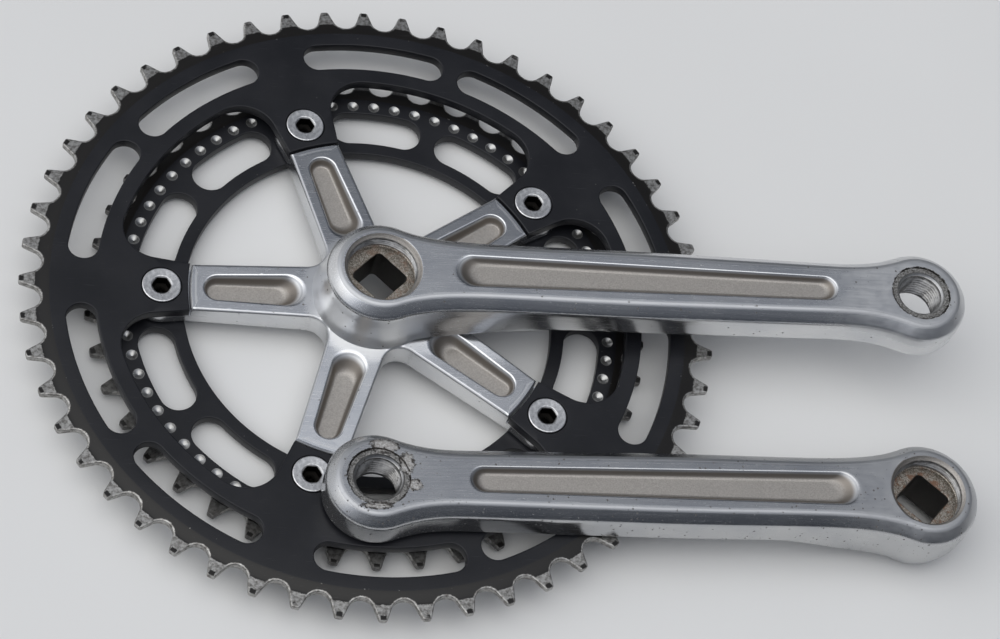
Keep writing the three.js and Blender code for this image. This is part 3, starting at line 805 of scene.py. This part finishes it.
class Nodes:
    """A material's or the world's nodes. A value is a number, a colour or another node's output."""

    def __init__(self, owner, shader="BSDF_PRINCIPLED"):
        owner.use_nodes = True
        self.owner, self.tree = owner, owner.node_tree
        self.shader = next(node for node in self.tree.nodes if node.type == shader)

    def put(self, node, inputs):
        for name, value in inputs.items():
            if isinstance(value, bpy.types.NodeSocket):
                self.tree.links.new(value, node.inputs[name])
            else:
                node.inputs[name].default_value = value

    def add(self, kind, inputs, output=0, **settings):
        node = self.tree.nodes.new("ShaderNode" + kind)
        for name, value in settings.items():
            setattr(node, name, value)
        self.put(node, inputs)
        return node.outputs[output]

    def vector(self, operation, *values, output=0):
        return self.add("VectorMath", dict(enumerate(values)), output, operation=operation)

    def finish(self, inputs):
        self.put(self.shader, inputs)
        return self.owner

    def math(self, operation, *values, clamp=False):
        """The values joined two at a time, or the operation on a single value."""
        total = values[0]
        for value in values[1:] or (0.0,):
            total = self.add("Math", {0: total, 1: value}, operation=operation, use_clamp=clamp)
        return total

    plus, minus = partialmethod(math, "ADD"), partialmethod(math, "SUBTRACT")
    times, most = partialmethod(math, "MULTIPLY"), partialmethod(math, "MAXIMUM")
    less = partialmethod(math, "SUBTRACT", 1.0, clamp=True)

    def attribute(self, name, output="Fac"):
        return self.add("Attribute", {}, output, attribute_name=name)

    def stretched(self, vector, scale=(1, 1, 1), turn=(0, 0, 0), shift=(0, 0, 0)):
        return self.add("Mapping", {"Vector": vector, "Scale": scale, "Rotation": turn, "Location": shift})

    def noise(self, vector, scale, detail=3.0, roughness=0.55):
        inputs = {"Vector": vector, "Scale": scale, "Detail": detail, "Roughness": roughness}
        return self.add("TexNoise", inputs)

    def band(self, value, low, high, to=(0.0, 1.0)):
        """0 below low and 1 above high, or the two values given as to."""
        return self.add("MapRange", {"Value": value, "From Min": low, "From Max": high, "To Min": to[0],
                                     "To Max": to[1]}, interpolation_type="SMOOTHSTEP")

    def below(self, value, low, high):
        """1 below low and 0 above high."""
        return self.less(self.band(value, low, high))

    def patches(self, vector, scale, low, high, detail=3.0, roughness=0.55):
        return self.band(self.noise(vector, scale, detail, roughness), low, high)

    def lerp(self, amount, a, b):
        """A number that goes from a to b with amount."""
        return self.add("MapRange", {"Value": amount, "To Min": a, "To Max": b})

    def mix(self, amount, a, b):
        a, b = ((*colour, 1.0) if isinstance(colour, tuple) else colour for colour in (a, b))
        return self.add("Mix", {0: amount, 6: a, 7: b}, 2, data_type="RGBA", clamp_factor=True)

    def distance(self, x, y, centre=(0, 0)):
        offset = [self.minus(value, c) for value, c in zip((x, y), centre)]
        return self.math("SQRT", self.plus(*[self.times(value, value) for value in offset]))

    def bump(self, height, distance, normal=None):
        inputs = {"Height": height, "Distance": distance * MILLIMETRE, "Strength": 1.0}
        if normal is not None:
            inputs["Normal"] = normal
        return self.add("Bump", inputs)

    def scratches(self, vector, *sets):
        """Sparse fine lines along X. Each set is (angle that it is turned by, seed, how sparse)."""
        lines = []
        for turn, seed, amount in sets:
            along = self.stretched(vector, (0.07, 3.2, 3.2), (0, 0, turn), (seed, seed, 0))
            lines.append(self.patches(along, 1.6, amount, amount + 0.07, 2.0, 0.6))
        return self.most(*lines)

    def pits(self, vector, size, share, biggest):
        """Small round specks: one in a cell of the given size, in that share of the cells."""
        cells = {"Vector": vector, "Scale": 1 / size, "Randomness": 1.0}
        distance = self.add("TexVoronoi", cells, "Distance")
        chance = self.add("SeparateColor", {"Color": self.add("TexVoronoi", cells, "Color")}, "Red")
        radius = self.band(chance, 1 - share, 1.0, (0.0, biggest / size))
        warp = self.times(self.minus(self.noise(vector, 3.0), 0.5), 0.12)
        return self.band(self.minus(radius, self.plus(distance, warp)), 0.0, 0.02)


# Colours, some as a pair between which patches vary
POLISH = (0.60, 0.61, 0.63), (0.70, 0.705, 0.71)
FINE_SCRATCH, WORN_POLISH = (0.9, 0.9, 0.9), (0.44, 0.45, 0.47)
# The second colour on the next line is painted shade for the sloped walls of grooves and pockets.
FORGED, SLOT_WALL_SHADE = ((0.38, 0.355, 0.33), (0.52, 0.495, 0.465)), (0.265, 0.24, 0.215)
BORE_GRIME, SEAT_GRIT = ((0.09, 0.085, 0.08), (0.34, 0.33, 0.315)), ((0.15, 0.125, 0.10), (0.52, 0.49, 0.44))
# The first colour on the next line is painted shade for the square hole below the washer seat.
SQUARE_HOLE_SHADE, PIT = (0.07, 0.066, 0.062), (0.07, 0.06, 0.055)
SCORED = (0.10, 0.095, 0.09), (0.42, 0.415, 0.405)
TORN = (0.36, 0.34, 0.32), (0.66, 0.655, 0.65)
CRUST, RUST = (0.035, 0.027, 0.021), (0.17, 0.08, 0.04)
ANODISED = (0.008, 0.0086, 0.0115), (0.0125, 0.013, 0.0165)
ANODISED_CONE, ANODISED_SCRATCH, DUST = (0.011, 0.010, 0.0095), (0.2, 0.2, 0.21), (0.3, 0.29, 0.27)
BARE_TOOTH, BARE_DIMPLE = ((0.15, 0.142, 0.133), (0.47, 0.465, 0.45)), (0.44, 0.44, 0.435)
STEEL = (0.50, 0.505, 0.515), (0.74, 0.74, 0.745)
# The second colour on the next line is painted shade for the inside of the bolts' hex sockets.
STEEL_PIT, SOCKET_SHADE = (0.08, 0.075, 0.07), (0.012, 0.011, 0.010)
TABLE = (0.77, 0.77, 0.765), (0.80, 0.80, 0.795)


def surface(name):
    """A new material's nodes, its piece's own coordinates, and those as x, y and z."""
    n = Nodes(bpy.data.materials.new(name))
    local = n.attribute("local", "Vector")
    return n, local, [n.add("SeparateXYZ", {"Vector": local}, axis) for axis in "XYZ"]


def polished_alloy(name, seed, tone, pit_share, haze, rust, damage):
    """Polished forged aluminium. tone scales how bright the polish is, as painted light and shade: it
    lightens the right arm's polish and darkens the left's. haze is how dull the ends (boss, eye) are, rust is
    how stained the washer seat is, and damage lists the (x, y, x radius, y radius) of the patches next to the
    pedal hole where the face is torn up."""
    n, local, (x, y, z) = surface(name)
    place = n.stretched(local, shift=(seed, 0, 0))
    matte, bore = n.attribute("matte"), n.attribute("bore")
    ragged = n.times(n.minus(n.noise(place, 1.1, 5.0, 0.7), 0.5), 2.4)

    from_eye = n.distance(x, y, (CRANK_LENGTH, 0))
    outer_face = n.band(z, 1.8, 2.6)
    off_seat = n.plus(from_eye, n.times(ragged, 0.45), -SEAT_RADIUS)
    scored = n.times(outer_face, n.below(off_seat, -0.1, 0.15),
                     n.band(from_eye, PEDAL_RADIUS + 0.5, PEDAL_RADIUS + 0.9))
    seat_rim = n.times(outer_face, n.band(off_seat, -0.35, -0.05), n.below(off_seat, 0.1, 0.3),
                       n.patches(place, 0.5, 0.4, 0.5))
    from_tear = 10.0
    for centre_x, centre_y, x_radius, y_radius in damage:
        across = n.math("DIVIDE", n.minus(x, centre_x), x_radius)
        along = n.math("DIVIDE", n.minus(y, centre_y), y_radius)
        from_tear = n.math("MINIMUM", from_tear, n.plus(n.distance(across, along), n.times(ragged, 0.55)))
    torn = n.times(outer_face, n.below(from_tear, 0.9, 1.05))
    torn_rim = n.times(outer_face, n.band(from_tear, 0.6, 0.85), n.below(from_tear, 0.98, 1.1),
                       n.patches(place, 0.7, 0.46, 0.53, 5.0, 0.75))

    from_spindle = n.distance(x, y)
    above_washer = n.plus(z, BORE_DEPTH)
    at_washer = n.times(n.below(above_washer, 0.6, 1.6), n.band(above_washer, -0.6, -0.2),
                        n.below(from_spindle, BORE_RADIUS + 0.05, BORE_RADIUS + 0.2))
    stain = n.times(at_washer, n.patches(place, 0.3, 0.5, 0.6, 6.0, 0.75))
    big_specks = n.times(n.pits(place, 1.5, pit_share, 0.34), n.patches(place, 0.045, 0.34, 0.52, 2.0))
    fine_specks = n.times(n.pits(n.stretched(place, shift=(7, 3, 1)), 0.8, 0.5 * pit_share, 0.14),
                          n.patches(place, 0.07, 0.36, 0.5, 2.0))
    specks = n.times(n.most(big_specks, fine_specks), n.less(matte))
    lengthwise = n.noise(n.stretched(place, (0.03, 2.6, 2.6)), 1.3, 4.0, 0.6)
    scratch = n.scratches(place, (0.5, 3, 0.68), (-0.9, 11, 0.69), (1.4, 29, 0.7))
    worn_edge = n.band(matte, 0.3 * WORN_EDGE, WORN_EDGE)

    polish = [tuple(part * tone for part in colour) for colour in POLISH]
    colour = n.mix(n.patches(place, 0.06, 0.3, 0.7), *polish)
    colour = n.mix(n.times(scratch, 0.16), colour, FINE_SCRATCH)
    colour = n.mix(n.times(worn_edge, n.below(matte, 0.1, 0.2), 0.8), colour, WORN_POLISH)
    forged = n.mix(n.patches(place, 2.2, 0.3, 0.7, 5.0, 0.7), *FORGED)
    # Painted shade: where matte is below 0.72, part way down the walls of the groove and pockets, the forged
    # colour is painted darker. The floors keep the forged colour.
    forged = n.mix(n.band(matte, 0.72, 0.98), SLOT_WALL_SHADE, forged)
    colour = n.mix(n.band(matte, 0.1, 0.6), colour, forged)
    inside = n.mix(n.patches(place, 0.5, 0.35, 0.65, 6.0, 0.7), *BORE_GRIME)
    grit = n.mix(n.patches(place, 2.6, 0.42, 0.6, 5.0, 0.8), *SEAT_GRIT)
    inside = n.mix(at_washer, inside, grit)
    # Painted shade: below the washer seat, the square hole and the recess behind it are painted near black.
    inside = n.mix(n.below(above_washer, -0.7, -0.3), inside, SQUARE_HOLE_SHADE)
    colour = n.mix(bore, colour, inside)
    colour = n.mix(scored, colour, n.mix(n.patches(place, 1.8, 0.35, 0.62, 6.0, 0.75), *SCORED))
    colour = n.mix(torn, colour, n.mix(n.patches(place, 1.4, 0.4, 0.6, 6.0, 0.8), *TORN))
    colour = n.mix(n.times(n.most(torn_rim, seat_rim), 0.9), colour, CRUST)
    colour = n.mix(n.times(stain, rust), colour, RUST)
    colour = n.mix(n.times(specks, 0.85), colour, PIT)

    patchy = n.lerp(n.patches(place, 0.22, 0.35, 0.65, 5.0, 0.7), 0.55, 1.0)
    at_boss = n.times(n.below(x, 8.0, 40.0), haze[0])
    at_eye = n.times(n.band(x, 128.0, 158.0), haze[1])
    hazy = n.times(n.most(at_boss, at_eye), patchy, n.band(z, -5.0, -1.0))
    rough = n.plus(n.band(lengthwise, 0.3, 0.75, (0.19, 0.28)), n.times(scratch, 0.12),
                   n.times(worn_edge, 0.22), hazy)
    rough = n.lerp(n.band(matte, 0.1, 0.6), rough, 0.52)
    on_hub = n.times(n.below(from_spindle, 20.0, 24.0), n.below(z, -5.0, -3.6))
    rough = n.plus(rough, n.times(on_hub, 0.12))
    rough = n.lerp(n.most(n.times(bore, 0.8), scored, torn, specks), rough, 0.5)

    normal = n.bump(lengthwise, 0.0018)
    normal = n.bump(scratch, 0.003, normal)
    normal = n.bump(n.times(n.noise(place, 3.5, 5.0, 0.7), n.most(matte, n.times(bore, 0.6))), 0.10, normal)
    normal = n.bump(n.times(n.noise(place, 1.6, 6.0, 0.8), n.most(scored, torn)), 0.35, normal)
    normal = n.bump(n.less(n.most(torn_rim, seat_rim)), 0.25, normal)
    normal = n.bump(n.less(specks), 0.1, normal)
    metal = n.less(n.most(n.times(stain, 0.9), n.times(specks, 0.8), n.times(torn, 0.4)))
    return n.finish({"Base Color": colour, "Roughness": rough, "Metallic": metal, "Normal": normal})


def black_anodised(name, teeth, first_tooth, flat_radius, middle, bare_teeth):
    """Satin black anodising, worn through to bare metal where the chain runs. bare_teeth is how much of a
    tooth's face is worn bare."""
    n, local, (x, y, z) = surface(name)
    matte = n.attribute("matte")
    radius = n.distance(x, y)
    step, pitch_radius = tooth_pitch(teeth)
    ragged = n.minus(n.noise(local, 1.3, 5.0, 0.7), 0.5)

    turns = n.math("DIVIDE", n.math("ARCTAN2", y, x), step)
    tooth = n.math("FRACT", n.plus(turns, teeth - first_tooth))
    from_gullet = n.times(n.minus(tooth, 0.5), step)
    cosine = n.times(n.math("COSINE", from_gullet), radius, 2 * pitch_radius)
    squares = n.plus(n.times(radius, radius), pitch_radius**2)
    into_metal = n.minus(n.math("SQRT", n.minus(squares, cosine)), ROLLER_RADIUS)
    worn_edge = n.plus(into_metal, n.times(ragged, 0.8))
    past_pitch = n.minus(radius, pitch_radius)
    on_teeth = n.band(past_pitch, -ROLLER_RADIUS - 1.4, -ROLLER_RADIUS - 1.2)
    gullet_band = n.times(on_teeth, n.below(worn_edge, 0.2 + 0.2 * bare_teeth, 0.4 + 0.3 * bare_teeth))
    ragged_line = n.plus(past_pitch, n.times(ragged, 1.2))
    body = n.times(n.band(ragged_line, -2.3, -2.05), bare_teeth)
    from_middle = n.times(n.math("PINGPONG", tooth, 0.5), step * pitch_radius)
    tip = n.times(n.band(ragged_line, 1.0, 1.25), n.below(ragged_line, 2.6, 2.75),
                  n.below(n.plus(from_middle, n.times(ragged, 0.7)), 0.8, 1.0),
                  n.band(n.math("ABSOLUTE", n.minus(z, middle)), 1.0, 1.03),
                  n.patches(local, 0.11, 0.36, 0.42, 1.0))
    off_edge = n.math("ABSOLUTE", n.minus(radius, flat_radius))
    nicks = n.times(n.below(off_edge, 0.12, 0.3), n.patches(local, 0.55, 0.66, 0.7, 3.0, 0.7))
    bare = n.most(n.times(n.most(gullet_band, body), n.less(tip)), matte, nicks)

    cone = n.band(radius, flat_radius - 0.05, flat_radius + 0.15)
    cloud = n.noise(local, 0.05, 4.0, 0.6)
    scratch = n.scratches(local, (0.3, 5, 0.7), (-1.1, 17, 0.7), (1.2, 31, 0.71))
    black = n.mix(cone, n.mix(n.band(cloud, 0.3, 0.7), *ANODISED), ANODISED_CONE)
    black = n.mix(n.times(scratch, 0.16), black, ANODISED_SCRATCH)
    black = n.mix(n.times(n.pits(local, 2.3, 0.3, 0.2), 0.25), black, DUST)
    bared = n.mix(n.patches(local, 0.8, 0.3, 0.68, 4.0, 0.65), *BARE_TOOTH)
    colour = n.mix(bare, black, n.mix(matte, bared, BARE_DIMPLE))

    rough = n.lerp(cone, n.band(cloud, 0.3, 0.7, (0.34, 0.42)), 0.33)
    rough = n.lerp(bare, rough, n.lerp(matte, 0.36, 0.33))
    normal = n.bump(n.noise(local, 6.0, 4.0, 0.6), 0.006)
    normal = n.bump(n.times(n.noise(local, 1.6, 4.0, 0.65), bare, n.less(matte)), 0.09, normal)
    normal = n.bump(n.less(bare), 0.03, normal)
    return n.finish({"Base Color": colour, "Roughness": rough, "Metallic": n.times(bare, 0.95),
                     "Specular IOR Level": 0.34, "Normal": normal})


def turned_steel(name):
    """Bright metal with the rings that a lathe leaves, round the piece's own axis."""
    n, local, (x, y, z) = surface(name)
    bore = n.attribute("bore")
    rings = n.noise(n.add("CombineXYZ", {"X": n.distance(x, y), "Y": 0.0, "Z": z}), 9.0, 3.0, 0.7)
    colour = n.mix(n.patches(local, 0.9, 0.35, 0.7, 4.0, 0.6), *STEEL)
    colour = n.mix(n.times(n.pits(local, 1.1, 0.35, 0.14), 0.7), colour, STEEL_PIT)
    # Painted shade: the hex socket and its cup, where bore is high, are painted near black.
    colour = n.mix(n.band(bore, 0.2, 0.8), colour, SOCKET_SHADE)
    rough = n.lerp(bore, n.band(rings, 0.3, 0.7, (0.28, 0.42)), 0.6)
    return n.finish({"Base Color": colour, "Roughness": rough, "Metallic": 1.0,
                     "Normal": n.bump(rings, 0.03)})


# ---- Putting the pieces together ----

def left_arm_placement():
    """The left arm's own frame in the CAD's, from the two mounts that the CAD states on its faces."""
    pedal, back = RECORD_MOUNTS["left_pedal_seat"], RECORD_MOUNTS["left_boss_back"]
    pedal_local = Vector((CRANK_LENGTH, PEDAL_MOUNT_RADIUS, PEDAL_SEAT_Z))
    aside = BACK_MOUNT_RADIUS * sqrt(0.5)
    back_local = Vector((-aside, aside, -LEFT_BOSS_DEPTH))
    up = Vector(pedal["axis"]).normalized()
    between = (Vector(pedal["pos_m"]) - Vector(back["pos_m"])) / MILLIMETRE
    wanted = pedal_local - back_local
    flat = between - up * between.dot(up)
    along = Matrix.Rotation(-atan2(wanted.y, wanted.x), 3, up) @ flat.normalized()
    turn = Matrix((along, up.cross(along), up)).transposed()
    origin = Vector(pedal["pos_m"]) / MILLIMETRE - turn @ pedal_local
    return Matrix.Translation(origin) @ turn.to_4x4()


def in_scene(name, data):
    thing = bpy.data.objects.new(name, data)
    bpy.context.scene.collection.objects.link(thing)
    return thing


def add_piece(name, shell, material, node, place=Matrix(), body="drive_side"):
    mesh = shell.mesh(name, place)
    mesh.materials.append(material)
    mesh.shade_smooth()
    mesh.set_sharp_from_angle(angle=SHARPEST_SMOOTH)
    piece = in_scene(name, mesh)
    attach(piece, body)
    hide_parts(node)
    return piece


def cut(piece, cutters):
    """Takes the cutters, which are meshes in the CAD's frame, out of the piece."""
    for mesh in cutters:
        tool = in_scene("cutter", mesh)
        boolean = piece.modifiers.new("cut", "BOOLEAN")
        boolean.operation, boolean.object, boolean.solver = "DIFFERENCE", tool, "EXACT"
        bpy.context.view_layer.update()
        result = bpy.data.meshes.new_from_object(piece.evaluated_get(bpy.context.evaluated_depsgraph_get()))
        piece.modifiers.clear()
        piece.data = result
        bpy.data.objects.remove(tool)


# The tones 1.04 and 0.8 are painted light and shade: the right arm's polish is lightened and the left's
# darkened.
alloy_right = polished_alloy("polished_alloy_right", 40, 1.04, 0.18, (0.02, 0.18), 0.5, [])
alloy_left = polished_alloy("polished_alloy_left", 90, 0.8, 0.7, (0.2, 0.04), 0.9, [
    (167.6, -10.4, 4.4, 2.6), (161.4, -4.6, 2.2, 3.4), (159.6, 2.4, 2.4, 1.9), (171.0, 9.3, 4.5, 1.2)])
anodised_outer = black_anodised(
    "black_anodised_outer", OUTER_TEETH, 0, OUTER_FLAT_RADIUS, OUTER_RING_MIDDLE, 1.0)
anodised_inner = black_anodised(
    "black_anodised_inner", INNER_TEETH, 0.5, INNER_FLAT_RADIUS, INNER_RING_MIDDLE, 0.35)
steel = turned_steel("turned_steel")

right_arm = add_piece("crank_arm_right", right_crank_arm(), alloy_right, "right_crank_arm",
                      Matrix.Translation((0, 0, BOSS_TOP)))
cut(right_arm, [cutter.mesh("cutter") for cutter in tab_cutters()])
add_piece("crank_arm_left", left_crank_arm(), alloy_left, "left_crank_arm",
          left_arm_placement(), "left_arm")
add_piece("ring_outer", outer_chainring(), anodised_outer, "outer_chainring")
add_piece("ring_inner", inner_chainring(), anodised_inner, "inner_chainring")
for i, place in enumerate(bolt_places(), 1):
    centre = Matrix.Translation((*place, 0))
    for kind, shell in (("bolt", chainring_bolt()), ("nut", chainring_nut())):
        add_piece(f"ring_{kind}_{i}", shell, steel, f"chainring_{kind}_{i}", centre)


# ---- Table, light and camera ----

def table():
    n = Nodes(bpy.data.materials.new("painted_table"))
    place = n.add("TexCoord", {}, "Object")
    grain = n.bump(n.noise(place, 700.0, 3.0), 0.02)
    mesh = bpy.data.meshes.new("table")
    reach, depth = 2.0, -0.0001
    corners = [(x * reach, y * reach, depth) for x, y in ((-1, -1), (1, -1), (1, 1), (-1, 1))]
    mesh.from_pydata(corners, [], [(0, 1, 2, 3)])
    mesh.materials.append(n.finish({"Base Color": n.mix(n.patches(place, 3.0, 0.3, 0.7, 4.0), *TABLE),
                                    "Normal": grain, "Roughness": 0.55}))
    in_scene("table", mesh)


def room():
    """A dim bluish room with a window, under one soft light that is wider along X than along Y."""
    world = bpy.data.worlds.new("room")
    bpy.context.scene.world = world
    n = Nodes(world, "BACKGROUND")
    direction = n.add("TexCoord", {}, "Generated")

    half_size, middle = Vector((0.8, 0.5)), Vector((-0.3, -0.1))
    spread = Vector((0.5 / half_size.x, 0.5 / half_size.y, 0))
    shift = Vector((-middle.x * spread.x, -middle.y * spread.y, 0))
    away = n.vector("LENGTH", n.vector("MULTIPLY_ADD", direction, spread, shift), output="Value")
    light = n.add("ValToRGB", {0: away})
    light.node.color_ramp.interpolation = "EASE"
    stops = light.node.color_ramp.elements
    stops[0].position, stops[0].color = 0.36, (1.0, 0.995, 0.98, 1.0)
    stops[1].position, stops[1].color = 0.9, (0, 0, 0, 1.0)
    for position, level in ((0.5, 0.5), (0.565, 0.25), (0.65, 0.145), (0.73, 0.06)):
        stops.new(position).color = (0.93 * level, 0.97 * level, 1.06 * level, 1.0)
    height = n.vector("DOT_PRODUCT", direction, (0, 0, 1), output="Value")
    overhead = n.vector("MULTIPLY", light, n.band(height, 0.1, 0.55))

    towards = n.vector("DOT_PRODUCT", direction, Vector((-0.75, 0.6, 0.22)).normalized(), output="Value")
    bright = n.vector("ADD", overhead, n.band(towards, 0.6, 1.0, (0.0, 0.36)))
    n.finish({"Color": n.vector("ADD", bright, (0.034, 0.038, 0.046)), "Strength": 1.75})


def camera():
    data = bpy.data.cameras.new("camera")
    data.sensor_width, data.lens = 36, 102.27
    data.clip_start = 0.05
    viewer = in_scene("camera", data)
    right, up = Vector((0.97854, -0.05063, 0.19980)), Vector((-0.05618, 0.86713, 0.49489))
    turn = Matrix((right, up, right.cross(up))).transposed().to_4x4()
    viewer.matrix_world = Matrix.Translation((-0.13481, -0.44091, 0.75657)) @ turn
    bpy.context.scene.camera = viewer


table()
room()
camera()
bpy.context.scene.view_settings.view_transform = "Standard"
